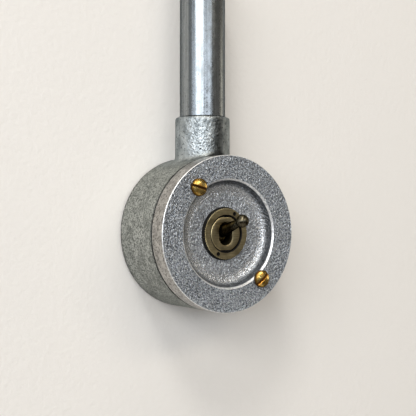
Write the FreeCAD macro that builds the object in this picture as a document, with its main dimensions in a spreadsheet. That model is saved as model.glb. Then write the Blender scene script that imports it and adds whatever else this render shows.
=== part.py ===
import FreeCAD, Part
import math
import os

import Sketcher
from FreeCAD import Placement, Rotation, Vector

# Metal-clad toggle light switch on a round conduit box.
# The back of the box is on the wall plane, y = 0. The switch faces -Y and the conduit runs up +Z.
# A depth is measured from the wall towards the front, so its point lies at y = -depth.

# Driving dimensions, in millimetres and degrees
sizes = {
    # Round cast box
    "box_radius": 33.5,
    "box_depth": 27.0,
    "box_wall": 3.3,
    "box_floor": 2.5,
    "box_back_chamfer": 0.6,
    "screw_inset": 8.1,
    "screw_angle": 50.46,
    "lug_radius": 4.2,
    "screw_radius": 2.0,
    "thread_clearance": 0.05,
    "tapped_depth": 13.0,
    "fixing_centres": 40.0,
    "fixing_hole_radius": 2.6,

    # Spout of the box and the conduit screwed into it
    "spout_radius": 12.1,
    "spout_front_inset": 0.1,
    "spout_length": 17.5,
    "spout_edge_round": 1.3,
    "spout_mouth_chamfer": 0.4,
    "spout_root_fillet": 2.0,
    "socket_length": 14.0,
    "outlet_radius": 8.0,
    "conduit_radius": 10.0,
    "conduit_wall": 1.6,
    "conduit_exposed": 69.0,
    "conduit_thread_length": 15.0,
    "thread_relief": 0.25,
    "conduit_end_chamfer": 0.5,

    # Gasket and dished lid
    "gasket_thickness": 0.8,
    "gasket_inset": 0.4,
    "screw_hole_clearance": 0.15,
    "lid_depth": 8.3,
    "lid_edge_chamfer": 0.3,
    "face_width": 10.45,
    "recess_depth": 4.6,
    "lip_width": 0.7,
    "lip_depth": 1.8,
    "lip_chamfer": 0.45,
    "cove_radius": 5.0,
    "lid_floor": 3.0,
    "lid_rim": 3.2,
    "lid_land": 3.0,
    "lid_core_wall": 3.2,
    "lid_core_foot": 2.5,
    "lid_boss_radius": 3.4,

    # Screws of the lid
    "head_radius": 3.55,
    "head_side": 1.35,
    "head_dome": 0.85,
    "head_slot_width": 1.1,
    "head_slot_depth": 1.25,
    "screw_end_chamfer": 0.5,
    "lid_screw_length": 20.0,
    "upper_slot_angle": -14.6,
    "lower_slot_angle": 40.4,

    # Threaded bush, ring nut and lock washer
    "bush_radius": 7.75,
    "bush_flat": 7.1,
    "bush_stands": 1.1,
    "bush_face": 1.6,
    "bush_bore": 5.3,
    "slot_width": 6.9,
    "slot_length": 10.0,
    "flange_radius": 9.0,
    "flange_thickness": 1.0,
    "skirt_radius": 7.2,
    "skirt_length": 3.6,
    "bush_hole_clearance": 0.15,
    "nut_radius": 11.0,
    "nut_thickness": 1.9,
    "nut_edge_chamfer": 0.25,
    "nut_thread_clearance": 0.1,
    "spanner_hole_radius": 0.65,
    "spanner_hole_circle": 9.45,
    "spanner_hole_depth": 1.2,
    "spanner_hole_angle": 63.6,
    "knurl_depth": 0.3,
    "knurl_count": 72,
    "washer_thickness": 0.4,
    "washer_radius": 9.6,
    "washer_tooth_width": 1.2,
    "washer_tooth_depth": 0.7,
    "washer_tooth_count": 12,

    # Dolly, the lever that the finger throws
    "pivot_inset": 0.9,
    "throw": 33.0,
    "lever_length": 19.6,
    "knob_radius": 2.7,
    "neck_radius": 1.45,
    "shank_radius": 2.85,
    "dolly_ball_radius": 4.7,
    "tail_radius": 1.9,
    "tail_length": 5.0,
    "tail_bore_radius": 0.9,
    "tail_bore_depth": 2.2,
    "pin_radius": 0.8,
    "pin_length": 14.2,
    "running_clearance": 0.05,

    # Insulating tail piece and snap spring
    "seat_distance": 7.0,
    "seat_radius": 1.45,
    "seat_neck_radius": 0.95,
    "tail_collar": 0.8,
    "coil_radius": 1.45,
    "wire_radius": 0.2,
    "coil_turns": 4,
    "wire_sides": 6,
    "coil_end_gap": 0.04,

    # Moulded mechanism housing, its cover and the steel saddle that clamps them
    "housing_width": 20.0,
    "housing_height": 25.0,
    "housing_corner": 2.0,
    "housing_front_wall": 2.8,
    "cavity_width": 12.0,
    "cavity_height": 20.0,
    "cover_thickness": 1.4,
    "saddle_thickness": 0.8,
    "saddle_height": 21.0,
    "saddle_claw": 2.6,
    "saddle_gap": 9.0,
    "saddle_gap_depth": 8.0,
    "housing_clearance": 0.05,

    # Contacts and terminals
    "pivot_to_fulcrum": 14.45,
    "fulcrum_radius": 1.0,
    "rocker_tilt": 8.0,
    "rocker_length": 15.2,
    "rocker_width": 4.6,
    "rocker_thickness": 0.8,
    "rocker_boss_radius": 2.0,
    "rocker_saddle_open": 0.3,
    "pip_distance": 3.2,
    "tip_radius": 1.2,
    "tip_thickness": 0.8,
    "tip_centre": 6.2,
    "tip_gap": 0.06,
    "strap_thickness": 0.8,
    "strap_width": 6.0,
    "strap_inner_end": 4.6,
    "strap_reach": 18.9,
    "strap_notch_clearance": 0.1,
    "common_reach": 16.5,
    "ear_thickness": 0.9,
    "ear_width": 3.2,
    "ear_gap": 0.2,
    "terminal_screw_radius": 1.6,
    "terminal_head_radius": 2.6,
    "terminal_head_side": 1.2,
    "terminal_head_dome": 0.4,
    "terminal_slot_width": 0.7,
    "terminal_slot_depth": 0.8,
    "terminal_screw_length": 4.2,
    "terminal_screw_inset": 3.2,
    "terminal_washer_radius": 2.9,
    "terminal_washer_thickness": 0.6,

    # Earth terminal on the floor of the box
    "earth_across": -13.5,
    "earth_up": -14.5,
    "earth_boss_radius": 4.0,
    "earth_boss_height": 2.0,
    "earth_hole_depth": 4.0,
    "earth_head_side": 1.6,
    "earth_head_dome": 0.5,
    "earth_screw_length": 4.5,
    "earth_washer_radius": 3.9,
    "earth_washer_thickness": 0.8,
}

doc = FreeCAD.newDocument("toggle_light_switch")
sheet = doc.addObject("Spreadsheet::Sheet", "Dim")
for row, (alias, number) in enumerate(sizes.items(), start=1):
    sheet.set(f"A{row}", alias)
    sheet.set(f"B{row}", str(number))
    sheet.setAlias(f"B{row}", alias)
doc.recompute()


def at(expression):
    """The present value of an expression in the sizes of the sheet."""
    return float(sheet.evalExpression(expression))


# Places that several pieces share, as expressions of the sizes above
INNER_RADIUS = "(Dim.box_radius - Dim.box_wall)"
SCREW_PITCH_RADIUS = "(Dim.box_radius - Dim.screw_inset)"
RECESS_RADIUS = "(Dim.box_radius - Dim.face_width)"
SPOUT_AXIS_DEPTH = "(Dim.box_depth - Dim.spout_front_inset - Dim.spout_radius)"
SPOUT_TOP = "(Dim.box_radius + Dim.spout_length)"
SOCKET_FLOOR = f"({SPOUT_TOP} - Dim.socket_length)"
CONDUIT_TOP = f"({SPOUT_TOP} + Dim.conduit_exposed)"
LID_BACK = "(Dim.box_depth + Dim.gasket_thickness)"
LID_FRONT = f"({LID_BACK} + Dim.lid_depth)"
RECESS_FLOOR = f"({LID_FRONT} - Dim.recess_depth)"
LID_FLOOR_BACK = f"({RECESS_FLOOR} - Dim.lid_floor)"
FLANGE_FRONT = f"({LID_FLOOR_BACK} - Dim.washer_thickness)"
FLANGE_BACK = f"({FLANGE_FRONT} - Dim.flange_thickness)"
BUSH_FRONT = f"({RECESS_FLOOR} + Dim.bush_stands)"
PIVOT_DEPTH = f"({FLANGE_BACK} - Dim.pivot_inset)"
FULCRUM_DEPTH = f"({PIVOT_DEPTH} - Dim.pivot_to_fulcrum)"
HOUSING_FRONT = f"({FLANGE_BACK} - Dim.saddle_thickness)"
CAVITY_FRONT = f"({HOUSING_FRONT} - Dim.housing_front_wall)"
MOVING_TIP_BACK = "(Dim.rocker_boss_radius - Dim.rocker_thickness - Dim.tip_thickness)"
TIP_EDGE = "(Dim.tip_centre + Dim.tip_radius)"
TIP_TOUCH = (f"({FULCRUM_DEPTH} + {MOVING_TIP_BACK} * cos(Dim.rocker_tilt)"
             f" - {TIP_EDGE} * sin(Dim.rocker_tilt) - Dim.tip_gap)")
STRAP_FRONT = f"({TIP_TOUCH} - Dim.tip_thickness)"
COVER_FRONT = f"({STRAP_FRONT} - Dim.strap_thickness)"
COVER_BACK = f"({COVER_FRONT} - Dim.cover_thickness)"


# Sketches and features, each bound to the sheet

def new_body(name):
    """An empty body whose label is the name of its piece."""
    body = doc.addObject("PartDesign::Body", name)
    body.Label = name
    return body


def new_sketch(body, plane, offset="0", turn="0"):
    """A sketch on one of the body's origin planes, moved out along its normal and turned on it."""
    sketch = body.newObject("Sketcher::SketchObject", body.Name + "_sketch")
    support = [feature for feature in body.Origin.OriginFeatures if feature.Role == plane]
    sketch.AttachmentSupport = (support[0], [""])
    sketch.MapMode = "FlatFace"
    sketch.AttachmentOffset = Placement(Vector(0, 0, 0), Rotation(Vector(0, 0, 1), 1))
    sketch.setExpression("AttachmentOffset.Base.z", offset)
    sketch.setExpression("AttachmentOffset.Rotation.Angle", turn)
    return sketch


def fix_distance(sketch, kind, geometry, vertex, expression):
    """Hold one coordinate of a vertex at an expression."""
    if expression == "0":
        axis = -2 if kind == "DistanceX" else -1
        sketch.addConstraint(Sketcher.Constraint("PointOnObject", geometry, vertex, axis))
        return
    constraint = Sketcher.Constraint(kind, -1, 1, geometry, vertex, at(expression))
    index = sketch.addConstraint(constraint)
    sketch.setExpression(f"Constraints[{index}]", expression)


def draw_circle(sketch, across, up, radius):
    """A circle with its centre and radius held at expressions."""
    centre = Vector(at(across), at(up), 0)
    index = sketch.addGeometry(Part.Circle(centre, Vector(0, 0, 1), at(radius)), False)
    fix_distance(sketch, "DistanceX", index, 3, across)
    fix_distance(sketch, "DistanceY", index, 3, up)
    held = sketch.addConstraint(Sketcher.Constraint("Radius", index, at(radius)))
    sketch.setExpression(f"Constraints[{held}]", radius)


def draw_outline(sketch, corners):
    """A closed outline through corners (across, up), each starting a straight side.

    A corner (across, up, (centre across, centre up), turn) starts an arc that turns left or right.
    """
    places = [Vector(at(corner[0]), at(corner[1]), 0) for corner in corners]
    ends = []
    for number, corner in enumerate(corners):
        start = places[number]
        finish = places[(number + 1) % len(places)]
        if len(corner) == 2:
            side = sketch.addGeometry(Part.LineSegment(start, finish), False)
            ends.append((side, 1, 2))
            continue
        centre = Vector(at(corner[2][0]), at(corner[2][1]), 0)
        side, first, last = draw_arc(sketch, start, finish, centre, corner[3])
        ends.append((side, first, last))
        chord = finish - start
        if abs(chord.x) > abs(chord.y):
            fix_distance(sketch, "DistanceY", side, 3, corner[2][1])
        else:
            fix_distance(sketch, "DistanceX", side, 3, corner[2][0])
    for number, (side, first, last) in enumerate(ends):
        next_side, next_first, next_last = ends[(number + 1) % len(ends)]
        sketch.addConstraint(Sketcher.Constraint("Coincident", side, last, next_side, next_first))
        fix_distance(sketch, "DistanceX", side, first, corners[number][0])
        fix_distance(sketch, "DistanceY", side, first, corners[number][1])


def draw_arc(sketch, start, finish, centre, turn):
    """An arc about a centre; gives its number and which of its ends comes first."""
    radius = (start - centre).Length
    first_angle = math.atan2(start.y - centre.y, start.x - centre.x)
    last_angle = math.atan2(finish.y - centre.y, finish.x - centre.x)
    circle = Part.Circle(centre, Vector(0, 0, 1), radius)
    if turn == "left":
        side = sketch.addGeometry(Part.ArcOfCircle(circle, first_angle, last_angle), False)
        return side, 1, 2
    side = sketch.addGeometry(Part.ArcOfCircle(circle, last_angle, first_angle), False)
    return side, 2, 1


def draw_rectangle(sketch, left, bottom, right, top):
    """A rectangle between two corners."""
    draw_outline(sketch, [(left, bottom), (right, bottom), (right, top), (left, top)])


def draw_double_flat(sketch, radius, flat):
    """A circle with its top and bottom cut flat at a distance from the centre."""
    half = f"sqrt({radius} ^ 2 - {flat} ^ 2)"
    middle = ("0", "0")
    draw_outline(sketch, [
        (half, f"-{flat}", middle, "left"),
        (half, flat),
        (f"-{half}", flat, middle, "left"),
        (f"-{half}", f"-{flat}"),
    ])


def draw_lug(sketch, inner_radius):
    """A round-nosed lug on a screw centre, its root run into the rim wall."""
    root = f"({INNER_RADIUS} + Dim.box_wall / 2)"
    draw_outline(sketch, [
        (SCREW_PITCH_RADIUS, inner_radius, (SCREW_PITCH_RADIUS, "0"), "left"),
        (SCREW_PITCH_RADIUS, f"-{inner_radius}"),
        (root, f"-{inner_radius}"),
        (root, inner_radius),
    ])


def add_feature(body, kind, sketch, length=None, reverse=False, both_ways=False):
    """A pad, pocket, revolution or groove of a sketch, checked to change the body."""
    before = body.Tip.Shape.Volume if body.Tip else 0
    feature = body.newObject("PartDesign::" + kind, body.Name + "_" + kind.lower())
    feature.Profile = sketch
    if kind in ("Revolution", "Groove"):
        feature.ReferenceAxis = (sketch, ["V_Axis"])
        feature.Angle = 360
    else:
        feature.setExpression("Length", length)
        feature.Reversed = reverse
        feature.Midplane = both_ways
    doc.recompute()
    if abs(feature.Shape.Volume - before) < 1e-6:
        raise RuntimeError(f"{feature.Name} changes nothing")
    return feature


def add_pattern(body, features, count):
    """Repeat features round the Y axis, evenly over a full turn."""
    pattern = body.newObject("PartDesign::PolarPattern", body.Name + "_pattern")
    axis = [feature for feature in body.Origin.OriginFeatures if feature.Role == "Y_Axis"]
    pattern.Originals = features
    pattern.Axis = (axis[0], [""])
    pattern.Angle = 360
    pattern.setExpression("Occurrences", count)
    body.Tip = pattern
    doc.recompute()
    return pattern


def dress_edges(body, kind, radius, chosen):
    """Fillet or chamfer the edges of the body that a test picks."""
    base = body.Tip
    edges = enumerate(base.Shape.Edges, start=1)
    names = [f"Edge{number}" for number, edge in edges if chosen(edge)]
    if not names:
        raise RuntimeError(f"no edge to dress on {body.Name}")
    feature = body.newObject("PartDesign::" + kind, body.Name + "_" + kind.lower())
    feature.Base = (base, names)
    feature.setExpression("Radius" if kind == "Fillet" else "Size", radius)
    doc.recompute()
    return feature


def is_circle(edge, radius, axis, place):
    """Whether an edge is a full circle of a radius at a place along an axis (0 x, 1 y, 2 z)."""
    if not isinstance(edge.Curve, Part.Circle):
        return False
    same_size = abs(edge.Curve.Radius - at(radius)) < 1e-4
    return same_size and abs(edge.Curve.Center[axis] - at(place)) < 1e-4


def turn_profile(name, corners):
    """A body turned about the Y axis from an outline (radius, y)."""
    body = new_body(name)
    sketch = new_sketch(body, "XY_Plane")
    draw_outline(sketch, corners)
    add_feature(body, "Revolution", sketch)
    return body


def place(item, across="0", depth="0", up="0", tilt="0"):
    """Put a piece at a place, tilted about the X axis."""
    item.Placement = Placement(Vector(0, 0, 0), Rotation(Vector(1, 0, 0), 1))
    item.setExpression("Placement.Base.x", across)
    item.setExpression("Placement.Base.y", f"-{depth}" if depth != "0" else "0")
    item.setExpression("Placement.Base.z", up)
    item.setExpression("Placement.Rotation.Angle", tilt)


def make_conduit_box():
    """Malleable iron casting: round box, screw lugs, wall fixings and an integral spout."""
    body = new_body("conduit_box")
    room = "(2 * Dim.spout_root_fillet)"

    # The drum is left long at both ends while the spout's root is blended, then faced off.
    drum = new_sketch(body, "XZ_Plane", f"-{room}")
    draw_circle(drum, "0", "0", "Dim.box_radius")
    add_feature(body, "Pad", drum, f"Dim.box_depth + 2 * {room}")
    spout = new_sketch(body, "XY_Plane")
    draw_circle(spout, "0", f"-{SPOUT_AXIS_DEPTH}", "Dim.spout_radius")
    add_feature(body, "Pad", spout, SPOUT_TOP)
    dress_edges(body, "Fillet", "Dim.spout_root_fillet", is_spout_root)
    for offset, towards_front in (("Dim.box_depth", True), ("0", False)):
        facing = new_sketch(body, "XZ_Plane", offset)
        draw_circle(facing, "0", "0", "(2 * Dim.box_radius)")
        add_feature(body, "Pocket", facing, f"2 * {room}", reverse=towards_front)
    chamfer = new_sketch(body, "XY_Plane")
    draw_outline(chamfer, [
        ("Dim.box_radius - Dim.box_back_chamfer", "0"),
        ("Dim.box_radius + Dim.box_back_chamfer", "0"),
        ("Dim.box_radius + Dim.box_back_chamfer", "-2 * Dim.box_back_chamfer"),
    ])
    add_feature(body, "Groove", chamfer)

    hollow = new_sketch(body, "XZ_Plane", "Dim.box_depth")
    draw_circle(hollow, "0", "0", INNER_RADIUS)
    add_feature(body, "Pocket", hollow, "Dim.box_depth - Dim.box_floor")

    lug = new_sketch(body, "XZ_Plane", "Dim.box_floor", "-Dim.screw_angle")
    draw_lug(lug, "Dim.lug_radius")
    lug_pad = add_feature(body, "Pad", lug, "Dim.box_depth - Dim.box_floor")
    tapping = new_sketch(body, "XZ_Plane", "Dim.box_depth", "-Dim.screw_angle")
    draw_circle(tapping, SCREW_PITCH_RADIUS, "0", "Dim.screw_radius + Dim.thread_clearance")
    tapped = add_feature(body, "Pocket", tapping, "Dim.tapped_depth")
    add_pattern(body, [lug_pad, tapped], "2")

    fixings = new_sketch(body, "XZ_Plane", "Dim.box_floor")
    for side in ("-Dim.fixing_centres / 2", "Dim.fixing_centres / 2"):
        draw_circle(fixings, side, "0", "Dim.fixing_hole_radius")
    add_feature(body, "Pocket", fixings, "Dim.box_floor")

    earth_boss = new_sketch(body, "XZ_Plane", "Dim.box_floor")
    draw_circle(earth_boss, "Dim.earth_across", "Dim.earth_up", "Dim.earth_boss_radius")
    add_feature(body, "Pad", earth_boss, "Dim.earth_boss_height")
    earth_hole = new_sketch(body, "XZ_Plane", "Dim.box_floor + Dim.earth_boss_height")
    draw_circle(earth_hole, "Dim.earth_across", "Dim.earth_up", "Dim.screw_radius + Dim.thread_clearance")
    add_feature(body, "Pocket", earth_hole, "Dim.earth_hole_depth")

    socket = new_sketch(body, "XY_Plane", SPOUT_TOP)
    socket_radius = "Dim.conduit_radius - Dim.thread_relief + Dim.thread_clearance"
    draw_circle(socket, "0", f"-{SPOUT_AXIS_DEPTH}", socket_radius)
    add_feature(body, "Pocket", socket, "Dim.socket_length")
    outlet = new_sketch(body, "XY_Plane", SOCKET_FLOOR)
    draw_circle(outlet, "0", f"-{SPOUT_AXIS_DEPTH}", "Dim.outlet_radius")
    add_feature(body, "Pocket", outlet, f"{SOCKET_FLOOR} - {INNER_RADIUS} + Dim.outlet_radius")
    dress_edges(body, "Chamfer", "Dim.spout_mouth_chamfer",
                lambda edge: is_circle(edge, socket_radius, 2, SPOUT_TOP))
    dress_edges(body, "Fillet", "Dim.spout_edge_round",
                lambda edge: is_circle(edge, "Dim.spout_radius", 2, SPOUT_TOP))
    return body


def is_spout_root(edge):
    """Whether an edge is the saddle curve where the spout meets the drum."""
    straight_or_round = isinstance(edge.Curve, (Part.Line, Part.Circle))
    return not straight_or_round and edge.BoundBox.ZMin > at("Dim.box_radius") / 2


def make_conduit_tube():
    """Length of steel conduit, threaded at both ends and reamed inside."""
    body = new_body("conduit_tube")
    outer = "Dim.conduit_radius"
    thread = "(Dim.conduit_radius - Dim.thread_relief)"
    inner = "(Dim.conduit_radius - Dim.conduit_wall)"
    lead = "Dim.conduit_end_chamfer"
    upper_thread = f"({CONDUIT_TOP} - Dim.conduit_thread_length)"
    profile = new_sketch(body, "XZ_Plane")
    draw_outline(profile, [
        (inner, SOCKET_FLOOR),
        (f"{thread} - {lead}", SOCKET_FLOOR),
        (thread, f"{SOCKET_FLOOR} + {lead}"),
        (thread, SPOUT_TOP),
        (outer, f"{SPOUT_TOP} + Dim.thread_relief"),
        (outer, f"{upper_thread} - Dim.thread_relief"),
        (thread, upper_thread),
        (thread, f"{CONDUIT_TOP} - {lead}"),
        (f"{thread} - {lead}", CONDUIT_TOP),
        (inner, CONDUIT_TOP),
    ])
    add_feature(body, "Revolution", profile)
    place(body, depth=SPOUT_AXIS_DEPTH)
    return body


def make_lid_gasket():
    """Rubber ring with two ears, a little smaller than the rims that it seals."""
    body = new_body("lid_gasket")
    ring = new_sketch(body, "XZ_Plane", "Dim.box_depth")
    draw_circle(ring, "0", "0", "Dim.box_radius - Dim.gasket_inset")
    draw_circle(ring, "0", "0", INNER_RADIUS)
    add_feature(body, "Pad", ring, "Dim.gasket_thickness")
    ear = new_sketch(body, "XZ_Plane", "Dim.box_depth", "-Dim.screw_angle")
    draw_lug(ear, "Dim.lug_radius")
    ear_pad = add_feature(body, "Pad", ear, "Dim.gasket_thickness")
    hole = new_sketch(body, "XZ_Plane", "Dim.box_depth", "-Dim.screw_angle")
    draw_circle(hole, SCREW_PITCH_RADIUS, "0", "Dim.screw_radius + Dim.screw_hole_clearance")
    punched = add_feature(body, "Pocket", hole, "Dim.gasket_thickness", reverse=True)
    add_pattern(body, [ear_pad, punched], "2")
    return body


def make_lid():
    """Cast aluminium lid, dished in front round the switch and cored out behind."""
    wall_foot = f"({RECESS_RADIUS} - Dim.lip_width)"
    cove_rise = "(Dim.recess_depth - Dim.lip_depth)"
    cove_run = f"sqrt(Dim.cove_radius ^ 2 - (Dim.cove_radius - {cove_rise}) ^ 2)"
    cove_start = f"({wall_foot} - {cove_run})"
    core_outer = "(Dim.box_radius - Dim.lid_rim)"
    core_ceiling = f"({LID_FRONT} - Dim.lid_land)"
    cove_centre = (cove_start, f"-({RECESS_FLOOR} + Dim.cove_radius)")
    body = turn_profile("lid", [
        ("0", f"-{RECESS_FLOOR}"),
        ("0", f"-{LID_FLOOR_BACK}"),
        (f"{cove_start} + Dim.lid_core_foot", f"-{LID_FLOOR_BACK}"),
        (f"{RECESS_RADIUS} + Dim.lid_core_wall", f"-{core_ceiling}"),
        (core_outer, f"-{core_ceiling}"),
        (core_outer, f"-{LID_BACK}"),
        ("Dim.box_radius", f"-{LID_BACK}"),
        ("Dim.box_radius", f"-{LID_FRONT}"),
        (RECESS_RADIUS, f"-{LID_FRONT}"),
        (wall_foot, f"-({LID_FRONT} - Dim.lip_depth)", cove_centre, "left"),
        (cove_start, f"-{RECESS_FLOOR}"),
    ])
    dress_edges(body, "Chamfer", "Dim.lid_edge_chamfer",
                lambda edge: is_circle(edge, "Dim.box_radius", 1, f"-{LID_FRONT}"))
    dress_edges(body, "Chamfer", "Dim.lip_chamfer",
                lambda edge: is_circle(edge, RECESS_RADIUS, 1, f"-{LID_FRONT}"))

    boss = new_sketch(body, "XZ_Plane", LID_BACK, "-Dim.screw_angle")
    draw_lug(boss, "Dim.lid_boss_radius")
    boss_pad = add_feature(body, "Pad", boss, "Dim.lid_depth - Dim.lid_land")
    hole = new_sketch(body, "XZ_Plane", LID_BACK, "-Dim.screw_angle")
    draw_circle(hole, SCREW_PITCH_RADIUS, "0", "Dim.screw_radius + Dim.screw_hole_clearance")
    drilled = add_feature(body, "Pocket", hole, "Dim.lid_depth", reverse=True)
    add_pattern(body, [boss_pad, drilled], "2")

    keyed = new_sketch(body, "XZ_Plane", RECESS_FLOOR)
    draw_double_flat(keyed, "(Dim.bush_radius + Dim.bush_hole_clearance)",
                     "(Dim.bush_flat + Dim.bush_hole_clearance)")
    add_feature(body, "Pocket", keyed, "Dim.lid_floor")
    return body


def make_screw(name, shank, length, head, side, dome, slot_width, slot_depth, slot_angle):
    """Slotted cheese-head screw, its head's seat at y = 0 and its head towards -Y."""
    dome_ball = f"(({head} ^ 2 + {dome} ^ 2) / (2 * {dome}))"
    top = f"({side} + {dome})"
    body = turn_profile(name, [
        ("0", length),
        ("0", f"-{top}", ("0", f"-({top} - {dome_ball})"), "left"),
        (head, f"-{side}"),
        (head, "0"),
        (shank, "0"),
        (shank, f"{length} - Dim.screw_end_chamfer"),
        (f"{shank} - Dim.screw_end_chamfer", length),
    ])
    slot = new_sketch(body, "XZ_Plane", top, slot_angle)
    draw_rectangle(slot, f"-2 * {head}", f"-{slot_width} / 2", f"2 * {head}", f"{slot_width} / 2")
    add_feature(body, "Pocket", slot, slot_depth)
    return body


def make_lid_screws():
    """The two brass screws that hold the lid to the lugs of the box."""
    across = f"{SCREW_PITCH_RADIUS} * cos(Dim.screw_angle)"
    up = f"{SCREW_PITCH_RADIUS} * sin(Dim.screw_angle)"
    screws = []
    for name, sign, angle in (("lid_screw_upper", "-", "upper"), ("lid_screw_lower", "", "lower")):
        screw = make_screw(name, "Dim.screw_radius", "Dim.lid_screw_length", "Dim.head_radius",
                           "Dim.head_side", "Dim.head_dome", "Dim.head_slot_width",
                           "Dim.head_slot_depth", f"Dim.{angle}_slot_angle")
        opposite = "" if sign else "-"
        place(screw, f"{sign}{across}", LID_FRONT, f"{opposite}{up}")
        screws.append(screw)
    return screws


def make_ring_nut():
    """Brass ring nut with a straight-knurled edge and two blind spanner holes."""
    front = f"({RECESS_FLOOR} + Dim.nut_thickness)"
    bore = "(Dim.bush_radius + Dim.nut_thread_clearance)"
    body = turn_profile("ring_nut", [
        (bore, f"-{RECESS_FLOOR}"),
        ("Dim.nut_radius", f"-{RECESS_FLOOR}"),
        ("Dim.nut_radius", f"-({front} - Dim.nut_edge_chamfer)"),
        ("Dim.nut_radius - Dim.nut_edge_chamfer", f"-{front}"),
        (bore, f"-{front}"),
    ])
    holes = new_sketch(body, "XZ_Plane", front, "Dim.spanner_hole_angle")
    for side in ("-Dim.spanner_hole_circle", "Dim.spanner_hole_circle"):
        draw_circle(holes, side, "0", "Dim.spanner_hole_radius")
    add_feature(body, "Pocket", holes, "Dim.spanner_hole_depth")

    groove = new_sketch(body, "XZ_Plane", RECESS_FLOOR)
    outside = "(Dim.nut_radius + Dim.knurl_depth)"
    draw_outline(groove, [
        ("Dim.nut_radius - Dim.knurl_depth", "0"),
        (outside, "-Dim.knurl_depth"),
        (outside, "Dim.knurl_depth"),
    ])
    cut = add_feature(body, "Pocket", groove, "Dim.nut_thickness", reverse=True)
    add_pattern(body, [cut], "Dim.knurl_count")
    return body


def make_threaded_bush():
    """Brass bush with a slotted face, keyed thread, clamping flange and a skirt for the pin."""
    skirt_end = f"({FLANGE_BACK} - Dim.skirt_length)"
    face_back = f"({BUSH_FRONT} - Dim.bush_face)"
    body = turn_profile("threaded_bush", [
        ("0", f"-{BUSH_FRONT}"),
        ("Dim.bush_radius", f"-{BUSH_FRONT}"),
        ("Dim.bush_radius", f"-{FLANGE_FRONT}"),
        ("Dim.flange_radius", f"-{FLANGE_FRONT}"),
        ("Dim.flange_radius", f"-{FLANGE_BACK}"),
        ("Dim.skirt_radius", f"-{FLANGE_BACK}"),
        ("Dim.skirt_radius", f"-{skirt_end}"),
        ("Dim.bush_bore", f"-{skirt_end}"),
        ("Dim.bush_bore", f"-{face_back}"),
        ("0", f"-{face_back}"),
    ])
    slot = new_sketch(body, "XZ_Plane", BUSH_FRONT)
    half = "(Dim.slot_width / 2)"
    centre = "((Dim.slot_length - Dim.slot_width) / 2)"
    draw_outline(slot, [
        (half, f"-{centre}"),
        (half, centre, ("0", centre), "left"),
        (f"-{half}", centre),
        (f"-{half}", f"-{centre}", ("0", f"-{centre}"), "left"),
    ])
    add_feature(body, "Pocket", slot, "Dim.bush_face")
    flats = new_sketch(body, "XZ_Plane", BUSH_FRONT)
    reach = "(2 * Dim.bush_radius)"
    draw_rectangle(flats, f"-{reach}", "Dim.bush_flat", reach, reach)
    draw_rectangle(flats, f"-{reach}", f"-{reach}", reach, "-Dim.bush_flat")
    add_feature(body, "Pocket", flats, f"{BUSH_FRONT} - {FLANGE_FRONT}")
    cross_hole = new_sketch(body, "YZ_Plane")
    draw_circle(cross_hole, f"-{PIVOT_DEPTH}", "0", "Dim.pin_radius + Dim.running_clearance")
    add_feature(body, "Pocket", cross_hole, "3 * Dim.bush_radius", both_ways=True)
    return body


def make_lock_washer():
    """Spring steel washer with teeth round its bore, behind the lid."""
    body = new_body("lock_washer")
    ring = new_sketch(body, "XZ_Plane", FLANGE_FRONT)
    bore = "(Dim.bush_radius + Dim.bush_hole_clearance)"
    draw_circle(ring, "0", "0", "Dim.washer_radius")
    draw_circle(ring, "0", "0", bore)
    add_feature(body, "Pad", ring, "Dim.washer_thickness")
    gap = new_sketch(body, "XZ_Plane", FLANGE_FRONT)
    draw_rectangle(gap, f"{bore} - Dim.washer_tooth_depth", "-Dim.washer_tooth_width / 2",
                   f"{bore} + Dim.washer_tooth_depth", "Dim.washer_tooth_width / 2")
    cut = add_feature(body, "Pocket", gap, "Dim.washer_thickness", reverse=True)
    add_pattern(body, [cut], "Dim.washer_tooth_count")
    return body


def make_mounting_saddle():
    """Zinc-plated steel strip bent round the housing, four claws crimped over its cover."""
    body = new_body("mounting_saddle")
    inside = "(Dim.housing_width / 2 + Dim.housing_clearance)"
    outside = f"({inside} + Dim.saddle_thickness)"
    claw = f"({inside} - Dim.saddle_claw)"
    back = f"({COVER_BACK} - Dim.saddle_thickness)"
    strip = new_sketch(body, "XY_Plane")
    draw_outline(strip, [
        (f"-{claw}", f"-{back}"),
        (f"-{claw}", f"-{COVER_BACK}"),
        (f"-{inside}", f"-{COVER_BACK}"),
        (f"-{inside}", f"-{HOUSING_FRONT}"),
        (inside, f"-{HOUSING_FRONT}"),
        (inside, f"-{COVER_BACK}"),
        (claw, f"-{COVER_BACK}"),
        (claw, f"-{back}"),
        (outside, f"-{back}"),
        (outside, f"-{FLANGE_BACK}"),
        (f"-{outside}", f"-{FLANGE_BACK}"),
        (f"-{outside}", f"-{back}"),
    ])
    add_feature(body, "Pad", strip, "Dim.saddle_height", both_ways=True)
    hole = new_sketch(body, "XZ_Plane", FLANGE_BACK)
    draw_circle(hole, "0", "0", "Dim.skirt_radius + Dim.housing_clearance")
    add_feature(body, "Pocket", hole, "Dim.saddle_thickness")
    gap = new_sketch(body, "XZ_Plane", back)
    draw_rectangle(gap, f"-2 * {outside}", "-Dim.saddle_gap / 2", f"2 * {outside}", "Dim.saddle_gap / 2")
    add_feature(body, "Pocket", gap, "Dim.saddle_gap_depth", reverse=True)
    return body


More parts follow.
